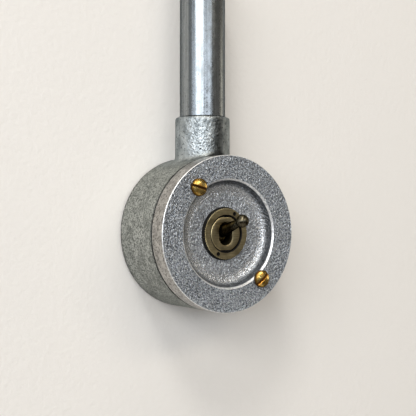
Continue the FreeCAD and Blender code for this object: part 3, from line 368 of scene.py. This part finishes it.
def double_flat(radius, flat, low, high):
    """A round bar along the Z axis with a flat above and below."""
    half = math.sqrt(radius ** 2 - flat ** 2)
    sweep = 2 * math.degrees(math.asin(flat / radius))
    side = ("arc", 0, 0, sweep, 40)
    return slab([(half, -flat), side, (-half, flat), side], low, high)


# Sand-cast aluminium: bright grains and dark hollows, coarse as the sand, lying in short slanting runs.
# The cove of the dish is rubbed smooth, its colour lightened there as a painted highlight; its outer wall
# is darkened as painted shade and its floor lightened as painted light.
cast_metal, tree, shader, place = start_material("sand_cast_aluminium", 0.85, 0.4)
slanted = add(tree, "Mapping", {"Vector": place, "Rotation": (0, math.radians(-38), 0)}).outputs["Vector"]
grain = speckle(tree, slanted, 0.62, 3.0, (1.6, 1, 1))
colour = blend(tree, remap(tree, grain, 0.34, 0.66, 0, 1), linear("#626A74"), linear("#D6DDE6"))
sparkle = speckle(tree, slanted, 0.5, 1.0, (1.8, 1, 1))
colour = blend(tree, remap(tree, sparkle, 0.57, 0.7, 0, 0.9), colour, linear("#FAFCFF"))
patches = speckle(tree, place, 5.0, 2.0)
uneven = remap(tree, patches, 0.35, 0.65, -0.06, 0.06)
hollows = calculate(tree, "ADD", speckle(tree, place, 0.6, 1.0), uneven)
colour = blend(tree, remap(tree, hollows, 0.57, 0.67, 0, 0.85), colour, linear("#34383D"))
flat = add(tree, "Mapping", {"Vector": place, "Scale": (1, 0, 1)}).outputs["Vector"]
from_middle = add(tree, "VectorMath", {0: flat}, operation="LENGTH").outputs["Value"]
rubbed_and_highlight = band(tree, from_middle, 19.3 * MM, 1.3 * MM, 3.0 * MM, 0.46)
# The dish floor is lightened towards its middle: painted light against the shade of the dish
colour = blend(tree, remap(tree, from_middle, 16 * MM, 19 * MM, 0.16, 0), colour, linear("#FFFFFF"))
# The lightened cove is a painted highlight; its smoothness and lower roughness are real wear
colour = blend(tree, rubbed_and_highlight, colour, linear("#EEF1F4"))
# The outer wall of the cove is darkened: painted shade
up_the_wall = remap(tree, from_middle, 20.4 * MM, 21.9 * MM, 0, 0.78)
inside_lip = remap(tree, from_middle, 22.7 * MM, 22.9 * MM, 1, 0)
cove_wall_shade = calculate(tree, "MULTIPLY", up_the_wall, inside_lip)
colour = blend(tree, cove_wall_shade, colour, linear("#3E4042"))
tree.links.new(colour, shader.inputs["Base Color"])
coarse = remap(tree, grain, 0.35, 0.65, 0.5, 0.28)
smooth = add(tree, "Mix", {0: calculate(tree, "MULTIPLY", rubbed_and_highlight, 1.4), 2: coarse, 3: 0.14})
tree.links.new(smooth.outputs[0], shader.inputs["Roughness"])
relief = add(tree, "Mix", {0: calculate(tree, "MULTIPLY", rubbed_and_highlight, 1.5), 2: grain, 3: 0.5})
raise_surface(tree, shader, relief.outputs[0], 1.6)

# Turned aluminium: fine rings round the rim and a soft shine
turned_metal, tree, shader, place = start_material("turned_aluminium", 1.0, 0.38)
rings = speckle(tree, place, 0.12, 2.0, (400, 1, 400))
cloud = speckle(tree, place, 3.0, 3.0)
colour = blend(tree, remap(tree, cloud, 0.35, 0.65, 0, 1), linear("#96938F"), linear("#C2BFBA"))
freckles = speckle(tree, place, 0.9, 3.0)
colour = blend(tree, remap(tree, freckles, 0.5, 0.64, 0, 0.8), colour, linear("#55534F"))
tree.links.new(colour, shader.inputs["Base Color"])
raise_surface(tree, shader, rings, 0.012)

# The lip of the dish and the two edges of the rim, polished; their near-white, half-diffuse colour is a
# painted highlight line
polished_edge_highlight, tree, shader, place = start_material("polished_aluminium_edge_highlight", 0.6, 0.4)
nicks = speckle(tree, place, 1.0, 3.0)
colour = blend(tree, remap(tree, nicks, 0.3, 0.55, 0, 1), linear("#BCBEC0"), linear("#F4F5F6"))
tree.links.new(colour, shader.inputs["Base Color"])

# The seat under and round the nut, painted near black as shade
seat_shade = plain_material("painted_shade_seat", 0.3, 0.8, "#191816")

lid_mesh = turned([(0, DISH_FLOOR), (9, DISH_FLOOR), (17.86, DISH_FLOOR, 0.35),
                   ("arc", 17.86, 36.5, 63.9, 16), (DISH_WALL, 35.25, 0.35), (22.79, 35.38),
                   (23.36, 36.02), (23.5, LID_FRONT), (33.2, LID_FRONT, 0.35), (33.28, 36.07),
                   (33.46, 35.9), (LID_RADIUS, 35.81), (LID_RADIUS, 28.14, 1.0), (33.46, 28.04),
                   (33.3, LID_BACK), (30.3, LID_BACK), (30.3, 33.1), (26.25, 33.1),
                   (20.36, LID_CORE), (0, LID_CORE)], 560)
lug_outline = [(SCREW_CIRCLE, -3.4), ("arc", SCREW_CIRCLE, 0, -180, 24), (31.85, 3.4), (31.85, -3.4),
               (SCREW_CIRCLE, -3.4)]
for turn in (-SCREW_ANGLE, 180 - SCREW_ANGLE):
    lug = moved(slab(lug_outline, LID_BACK, 33.6), turn=turn)
    lid_mesh = combine(lid_mesh, lug, "UNION")
    screw_hole = moved(moved(rod(2.15, 27, 37), across=SCREW_CIRCLE), turn=turn)
    lid_mesh = combine(lid_mesh, screw_hole, "DIFFERENCE")
lid_mesh = combine(lid_mesh, double_flat(7.9, 7.25, 27, 33), "DIFFERENCE")
# The grain of the sand stands on the face and in the dish, and fades out at the turned lip
for vertex in lid_mesh.verts:
    radius = math.hypot(vertex.co.x, vertex.co.y) / MM
    if 11.5 < radius < 33.15 and vertex.co.z / MM > DISH_FLOOR - 0.05:
        near_lip = 1 - min(1, abs(radius - LIP_RADIUS) / 0.7)
        grains = noise.noise(vertex.co / (0.75 * MM)) + 0.6 * noise.noise(vertex.co / (1.7 * MM))
        in_cove = 17.5 < radius < 22.7
        swing = 0.08 if in_cove else 0.12
        vertex.co -= vertex.normal * (0.1 + swing * grains) * (1 - 0.85 * near_lip) * MM
# Lip and edges polished with a painted highlight, seat painted dark as shade, rim turned, and the rest as
# cast
for face in lid_mesh.faces:
    centre = face.calc_center_median() / MM
    radius = math.hypot(centre.x, centre.y)
    on_rim = radius > RIM_START
    on_lip = 22.74 < radius < 23.49 and centre.z > 35.26
    on_edge = on_lip or on_rim and not 28.1 < centre.z < 35.8
    on_seat = radius < SEAT_RADIUS and abs(centre.z - DISH_FLOOR) < 0.1
    face.material_index = 2 if on_edge else 3 if on_seat else 1 if on_rim else 0
bmesh.ops.transform(lid_mesh, matrix=STAND_UP, verts=lid_mesh.verts[:])
finish("lid", lid_mesh, [cast_metal, turned_metal, polished_edge_highlight, seat_shade], "switch_body",
       sharp=50)


# Lid screws
# Two slotted brass cheese-head screws, their domed heads polished and their slots a little chewed.

HEAD_RADIUS = 3.7
SHANK = 2
SLOT_HALF = 0.55
SLOT_FLOOR = 0.95
DOME_RADIUS = 3.55
DOME_RISE = 0.85
DOME_START = 1.35

polished_brass, tree, shader, place = start_material("polished_brass", 1.0, 0.24)
tarnish = speckle(tree, place, 1.4, 3.0)
colour = blend(tree, remap(tree, tarnish, 0.4, 0.65, 0, 1), linear("#FFE290"), linear("#E0B055"))
tree.links.new(colour, shader.inputs["Base Color"])
tree.links.new(remap(tree, tarnish, 0.3, 0.7, 0.18, 0.32), shader.inputs["Roughness"])
raise_surface(tree, shader, speckle(tree, place, 1.3, 2.0), 0.1)

# The slot, tarnished brown in its depth and painted darker as shade, as is the side of the head; the
# slot's walls bright where a driver has chewed them; the rim of the dome painted darker as shade
slot_tarnish_and_shade = plain_material("tarnished_and_shaded_slot", 0.8, 0.5, "#4E3514")
chewed_brass = plain_material("chewed_slot_wall", 1.0, 0.34, "#E0A045")
dome_rim_shade = plain_material("painted_shade_dome_rim", 1.0, 0.36, "#8E6A2C")

dome_chord = DOME_RADIUS ** 2 + DOME_RISE ** 2
dome_angle = math.degrees(math.asin(2 * DOME_RADIUS * DOME_RISE / dome_chord))
dome_centre = DOME_START + DOME_RISE - dome_chord / (2 * DOME_RISE)
lid_screws = (("lid_screw_upper", -14.6, 180 - SCREW_ANGLE), ("lid_screw_lower", 40.4, -SCREW_ANGLE))
for name, slot_angle, turn in lid_screws:
    screw = turned([(0, -20), (1.5, -20), (SHANK, -19.5), (SHANK, -8, 0.12), (SHANK, 0), (3.6, 0),
                    (HEAD_RADIUS, 0.1), (HEAD_RADIUS, 1.2), (3.66, 1.3), (DOME_RADIUS, DOME_START),
                    ("arc", 0, dome_centre, dome_angle, 10)], 96)
    cut_thread(screw, SHANK, -19.5, -8, 0.7, 0.3)
    cutter = slab([(-5, -SLOT_HALF), (5, -SLOT_HALF), (5, SLOT_HALF), (-5, SLOT_HALF), (-5, -SLOT_HALF)],
                  SLOT_FLOOR, 4)
    screw = combine(screw, moved(cutter, turn=slot_angle), "DIFFERENCE")
    along = math.radians(slot_angle)
    for face in screw.faces:
        centre = face.calc_center_median() / MM
        off_line = abs(centre.y * math.cos(along) - centre.x * math.sin(along))
        on_wall = centre.z > 0.9 and abs(off_line - SLOT_HALF) < 0.01
        in_slot = centre.z > 0.9 and off_line < 0.56
        radius = math.hypot(centre.x, centre.y)
        # Slot and head side take the tarnish and painted shade, the dome's rim a lighter painted shade
        in_shade = in_slot or radius > 3.65
        face.material_index = 2 if on_wall else 1 if in_shade else 3 if radius > 3.2 else 0
    slot_mouth = [edge for edge in screw.edges if edge.calc_face_angle(0) > 0.8
                  and all(vertex.co.z > 1.36 * MM for vertex in edge.verts)]
    worn_edge = bmesh.ops.bevel(screw, geom=slot_mouth, offset=0.14 * MM, offset_type="OFFSET",
                                affect="EDGES", segments=1, profile=0.5, material=-1, clamp_overlap=False)
    for face in worn_edge["faces"]:
        face.material_index = 2
    bmesh.ops.translate(screw, verts=screw.verts[:], vec=(0, 0, LID_FRONT * MM))
    bearing = math.radians(turn)
    moved(screw, across=SCREW_CIRCLE * math.cos(bearing), up=SCREW_CIRCLE * math.sin(bearing))
    bmesh.ops.transform(screw, matrix=STAND_UP, verts=screw.verts[:])
    finish(name, screw, [polished_brass, slot_tarnish_and_shade, chewed_brass, dome_rim_shade], "switch_body")


# Ring nut
# A brass nut with a straight-knurled edge and two blind holes for a pin spanner.
# It has gone dark with age, and its worn edges show as thin light lines.

NUT_RADIUS = 11
NUT_FACE = 33.4
NUT_BORE = 8.02
NUT_PITCH = 1.0
KNURLS = 72
SPANNER_CIRCLE = 9.45

antique_brass, tree, shader, place = start_material("antique_brushed_brass", 1.0, 0.34)
brush = speckle(tree, place, 0.16, 2.0, (30, 1, 1))
patina = speckle(tree, place, 2.5, 3.0)
colour = blend(tree, remap(tree, patina, 0.3, 0.7, 0, 1), linear("#A39777"), linear("#BFB18B"))
colour = blend(tree, remap(tree, brush, 0.35, 0.6, 0.5, 0), colour, linear("#4E4530"))
tree.links.new(colour, shader.inputs["Base Color"])
tree.links.new(remap(tree, brush, 0.3, 0.7, 0.28, 0.44), shader.inputs["Roughness"])
raise_surface(tree, shader, brush, 0.012)

# Its edges rubbed bright, and its thread, knurled flank and spanner holes painted near black as shade
worn_brass = plain_material("worn_brass_edge", 1.0, 0.36, "#C9B98E")
brass_shade = plain_material("painted_shade_brass", 0.3, 0.7, "#14110C")

nut = turned([(7.85, DISH_FLOOR), (10.9, DISH_FLOOR), (NUT_RADIUS, 31.6), (NUT_RADIUS, 33.15, 0.5),
              (10.8, NUT_FACE), (8.22, NUT_FACE), (NUT_BORE, 33.2), (NUT_BORE, DISH_FLOOR, 0.16)], 432)
cut_thread(nut, NUT_BORE, DISH_FLOOR, 33.2, NUT_PITCH, -0.25)
# The straight knurl round the edge
for vertex in nut.verts:
    radius = math.hypot(vertex.co.x, vertex.co.y) / MM
    if radius > 10.5:
        groove = 0.3 * abs(2 * (math.atan2(vertex.co.y, vertex.co.x) * KNURLS / math.tau % 1) - 1)
        vertex.co.x *= 1 - groove / radius
        vertex.co.y *= 1 - groove / radius
for turn in (63.6, 243.6):
    hole = turned([(0, 32.2), (0.78, 32.2), (0.78, 33.3), (0.98, 33.5), (0.98, 34), (0, 34)], 32)
    nut = combine(nut, moved(moved(hole, across=SPANNER_CIRCLE), turn=turn), "DIFFERENCE")
for face in nut.faces:
    centre = face.calc_center_median() / MM
    radius = math.hypot(centre.x, centre.y)
    tilted = 0.2 < abs(face.normal.z) < 0.95
    in_hole = 32 < centre.z < 33.39 and 8.5 < radius < 10.4
    on_flank = radius > 10.5 and centre.z < 33.14
    # Bore, spanner holes and knurled flank painted near black as shade
    shaded = radius < 8.2 or in_hole or on_flank
    face.material_index = 2 if shaded else 1 if tilted and centre.z > 33 else 0
bmesh.ops.transform(nut, matrix=STAND_UP, verts=nut.verts[:])
finish("ring_nut", nut, [antique_brass, worn_brass, brass_shade], "switch_body", sharp=25)


# Threaded bush
# The brass nose that the dolly comes through: a slotted face, a 1 mm thread with two flats that key
# it in the lid, and a flange and a skirt behind that hold the mechanism and the dolly's pin.

BUSH_FACE = 32.85
BUSH_THREAD = 7.65
THREAD_FRONT = 32.25
FLANGE_FRONT = 28.1
FLANGE_BACK = 27.1
SKIRT_RADIUS = 7.2
SKIRT_BACK = 23.5
BUSH_BORE = 5.3
SLOT_CENTRE = 1.55
SLOT_RADIUS = 3.45
PIVOT_DEPTH = 26.2


def cross_rod(radius, half_length):
    """A round bar along the X axis, about the middle."""
    bar = rod(radius, -half_length, half_length)
    bmesh.ops.transform(bar, matrix=Matrix.Rotation(math.radians(90), 4, "Y"), verts=bar.verts[:])
    return bar


bush = turned([(0, BUSH_FACE), (7.3, BUSH_FACE), (7.45, 32.7), (7.45, 32.45), (BUSH_THREAD, THREAD_FRONT),
               (BUSH_THREAD, FLANGE_FRONT, 0.16), (9, FLANGE_FRONT), (9, FLANGE_BACK),
               (SKIRT_RADIUS, FLANGE_BACK), (SKIRT_RADIUS, SKIRT_BACK), (BUSH_BORE, SKIRT_BACK),
               (BUSH_BORE, 31.0), (0, 31.0)], 192)
cut_thread(bush, BUSH_THREAD, FLANGE_FRONT, THREAD_FRONT, NUT_PITCH, 0.4)
# The two flats on the thread
for vertex in bush.verts:
    if vertex.co.z > 28.2 * MM:
        vertex.co.y = max(-6.95 * MM, min(7.05 * MM, vertex.co.y))
# The thread behind the face is painted near black as shade
for face in bush.faces:
    centre = face.calc_center_median() / MM
    on_thread = math.hypot(centre.x, centre.y) > 6.9 and FLANGE_FRONT < centre.z < 32.7
    face.material_index = 2 if on_thread else 0
slot_outline = [(SLOT_RADIUS, -SLOT_CENTRE), (SLOT_RADIUS, SLOT_CENTRE), ("arc", 0, SLOT_CENTRE, 180, 32),
                (-SLOT_RADIUS, -SLOT_CENTRE), ("arc", 0, -SLOT_CENTRE, 180, 32)]
bush = combine(bush, slab(slot_outline, 30.5, 33), "DIFFERENCE")
bmesh.ops.transform(bush, matrix=STAND_UP, verts=bush.verts[:])
pin_hole = cross_rod(0.85, 12)
bmesh.ops.translate(pin_hole, verts=pin_hole.verts[:], vec=(0, -PIVOT_DEPTH * MM, 0))
bush = combine(bush, pin_hole, "DIFFERENCE")
# The edges of the face and of its slot, worn round and bright
mouth = [edge for edge in bush.edges if edge.calc_face_angle(0) > 0.6
         and all(abs(vertex.co.y / MM + BUSH_FACE) < 0.01 for vertex in edge.verts)]
edged = bmesh.ops.bevel(bush, geom=mouth, offset=0.18 * MM, offset_type="OFFSET", affect="EDGES",
                        segments=2, profile=0.5, material=-1, clamp_overlap=False)
for face in edged["faces"]:
    face.material_index = 1
finish("threaded_bush", bush, [antique_brass, worn_brass, brass_shade], "switch_body",
       sharp=30)


# Dolly
# The turned lever that the finger throws: a ball knob, a tapering shank and a pivot ball, bronzed
# dark, with the knob rubbed to a shine. It swings on a pin across the bush.

dark_brass, tree, shader, place = start_material("bronzed_brass", 1.0, 0.26)
# The dark specular tint darkens the dolly's edges at grazing angles: painted shade at its rim
shader.inputs["Specular Tint"].default_value = linear("#3A3226")
handled = speckle(tree, place, 1.2, 2.0)
colour = blend(tree, remap(tree, handled, 0.35, 0.65, 0, 1), linear("#4C473A"), linear("#6C6656"))
depth = add(tree, "SeparateXYZ", {"Vector": place}).outputs["Y"]
colour = blend(tree, remap(tree, depth, -41 * MM, -38.5 * MM, 0, 0.75), colour, linear("#2A2214"))
tree.links.new(colour, shader.inputs["Base Color"])
tree.links.new(remap(tree, handled, 0.3, 0.7, 0.22, 0.34), shader.inputs["Roughness"])

LEVER = 19.59
KNOB = 2.7
PIVOT_BALL = 4.7
SHANK_ROOT = 2.85
TAIL_RADIUS = 1.9
REST_TILT = -16.5
knob_start = math.degrees(math.asin(1.45 / KNOB))
shank_start = math.degrees(math.asin(SHANK_ROOT / PIVOT_BALL))
tail_start = math.degrees(math.asin(TAIL_RADIUS / PIVOT_BALL))
dolly = turned([(0, LEVER + KNOB), ("arc", 0, LEVER, -(180 - knob_start), 40),
                (1.55, LEVER - KNOB), (SHANK_ROOT, PIVOT_BALL * math.cos(math.radians(shank_start)), 0.6),
                ("arc", 0, 0, -(180 - shank_start - tail_start), 40),
                (TAIL_RADIUS, -5), (0.9, -5), (0.9, -2.8), (0, -2.8)], 96)
bmesh.ops.transform(dolly, matrix=STAND_UP, verts=dolly.verts[:])
dolly = combine(dolly, cross_rod(0.85, 8), "DIFFERENCE")
tilt = Matrix.Translation((0, -PIVOT_DEPTH * MM, 0)) @ Matrix.Rotation(math.radians(REST_TILT), 4, "X")
bmesh.ops.transform(dolly, matrix=tilt, verts=dolly.verts[:])
finish("dolly", dolly, [dark_brass], "dolly")


# Mechanism
# Behind the lid: a zinc-plated saddle round a brown phenolic housing and cover, with brass straps,
# silver contacts, a nylon spring seat, a steel spring and pin, and the screws that take the wires.

plated, tree, shader, place = start_material("bright_zinc_plate", 1.0, 0.3)
sheen = speckle(tree, place, 2.5, 3.0)
colour = blend(tree, sheen, linear("#B9BDC0"), linear("#CFCBB4"))
tree.links.new(colour, shader.inputs["Base Color"])

spring_steel = plain_material("drawn_steel", 1.0, 0.25, "#BFC1C2")

phenolic, tree, shader, place = start_material("brown_phenolic", 0.0, 0.28)
flow = speckle(tree, place, 1.5, 4.0, (1, 1, 3))
colour = blend(tree, remap(tree, flow, 0.35, 0.65, 0, 1), linear("#2A1610"), linear("#3A2118"))
tree.links.new(colour, shader.inputs["Base Color"])

strip_brass, tree, shader, place = start_material("rolled_brass_strip", 1.0, 0.32)
roll = speckle(tree, place, 0.2, 2.0, (1, 1, 40))
colour = blend(tree, remap(tree, roll, 0.3, 0.7, 0, 1), linear("#C79E4C"), linear("#D9B566"))
tree.links.new(colour, shader.inputs["Base Color"])

silver = plain_material("contact_silver", 1.0, 0.22, "#E4E2DC")

nylon, tree, shader, place = start_material("natural_nylon", 0.0, 0.4)
shader.inputs["Base Color"].default_value = linear("#E2DCC8")
shader.inputs["Subsurface Weight"].default_value = 0.2
shader.inputs["Subsurface Scale"].default_value = 1 * MM

hidden_finishes = {
    "mounting_saddle": plated, "lock_washer": plated,
    "dolly_pivot_pin": spring_steel, "toggle_spring": spring_steel,
    "mechanism_housing": phenolic, "rear_cover": phenolic,
    "terminal_common": strip_brass, "terminal_upper": strip_brass, "terminal_lower": strip_brass,
    "rocker_contact": strip_brass, "moving_contact_tips": silver, "fixed_contact_tips": silver,
    "tail_insulator": nylon, "terminal_screws": polished_brass, "terminal_washers": polished_brass,
    "earth_screw": polished_brass, "earth_washer": polished_brass,
}
for name, material in hidden_finishes.items():
    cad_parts[name].data.materials[0] = material


# Stage
# A pale painted wall behind the box, a pale floor far below it, soft light from the left and above,
# and the camera to the left of the switch at its own height.

paint, tree, shader, place = start_material("painted_wall", 0.0, 0.9)
shader.inputs["Base Color"].default_value = linear("#EDEAE6")
shader.inputs["Specular IOR Level"].default_value = 0.15
raise_surface(tree, shader, speckle(tree, place, 2.2, 4.0), 0.19)
# The wall is clear from behind, so a view from there sees the part, and clear to a ray shorter than
# 3 mm, so the back of the box isn't black
geometry = add(tree, "NewGeometry", {})
ray_length = add(tree, "LightPath", {}).outputs["Ray Length"]
near = calculate(tree, "LESS_THAN", ray_length, 3 * MM)
open_side = calculate(tree, "MAXIMUM", geometry.outputs["Backfacing"], near)
clear = add(tree, "BsdfTransparent", {})
mix = add(tree, "MixShader", {0: open_side, 1: shader.outputs[0], 2: clear.outputs[0]})
tree.links.new(mix.outputs[0], tree.nodes["Material Output"].inputs["Surface"])

for name, size, spot, turn in (("wall", 2.6, (0, 0.5 * MM, 0), 90), ("floor", 3.0, (0, -1.2, -1.5), 0)):
    plane = bmesh.new()
    bmesh.ops.create_grid(plane, x_segments=1, y_segments=1, size=size / 2)
    where = Matrix.Translation(spot) @ Matrix.Rotation(math.radians(turn), 4, "X")
    bmesh.ops.transform(plane, matrix=where, verts=plane.verts[:])
    mesh = bpy.data.meshes.new(name)
    plane.to_mesh(mesh)
    plane.free()
    mesh.materials.append(paint)
    backdrop = bpy.data.objects.new(name, mesh)
    bpy.context.scene.collection.objects.link(backdrop)


def softbox(name, azimuth, elevation, distance, width, height, watts, tint):
    """A soft rectangular lamp that faces the switch, placed by its direction from it."""
    lamp = bpy.data.lights.new(name, "AREA")
    lamp.shape = "RECTANGLE"
    lamp.size = width
    lamp.size_y = height
    lamp.energy = watts
    lamp.color = linear(tint)[:3]
    item = bpy.data.objects.new(name, lamp)
    across = math.radians(azimuth)
    up = math.radians(elevation)
    out = math.cos(up)
    item.location = distance * Vector((math.sin(across) * out, -math.cos(across) * out, math.sin(up)))
    item.rotation_euler = item.location.to_track_quat("Z", "Y").to_euler()
    item.visible_camera = False
    bpy.context.scene.collection.objects.link(item)


softbox("window", -40, 50, 2.2, 0.5, 0.45, 14.5, "#FFFDF8")
softbox("sky", -48, 24, 2.2, 1.4, 0.6, 18, "#FFFCF6")
softbox("pane", -46.5, 7, 2.2, 1.65, 0.6, 14.6, "#EEF5FF")
softbox("left_pane", -77, 6, 2.2, 0.7, 0.6, 2.6, "#E6F1FF")
softbox("side_pane", -5, 10, 2.2, 1.4, 0.4, 5.8, "#ECF4FF")
softbox("right_card", 46, 2, 2.2, 1.9, 1.2, 1.15, "#F4F2EE")
softbox("edge_card", 80, 4, 2.2, 0.7, 0.7, 2.3, "#FFF4E2")
softbox("front", 12, 30, 2.2, 1.7, 0.34, 9.4, "#FFF4E2")
softbox("ceiling", -20, 75, 1.5, 0.9, 0.9, 4, "#FFF6E8")

world = bpy.data.worlds.new("room")
bpy.context.scene.world = world
world.use_nodes = True
world.node_tree.nodes["Background"].inputs["Color"].default_value = linear("#F4E0C2")
world.node_tree.nodes["Background"].inputs["Strength"].default_value = 0.06

lens = bpy.data.cameras.new("camera")
lens.lens = 78.0
lens.sensor_width = 36
lens.clip_start = 0.01
camera = bpy.data.objects.new("camera", lens)
camera.location = (-0.2196, -0.3482, 0.0110)
camera.rotation_euler = (math.radians(90), 0, math.radians(-33.724))
bpy.context.scene.collection.objects.link(camera)
bpy.context.scene.camera = camera
bpy.context.scene.view_settings.view_transform = "Standard"
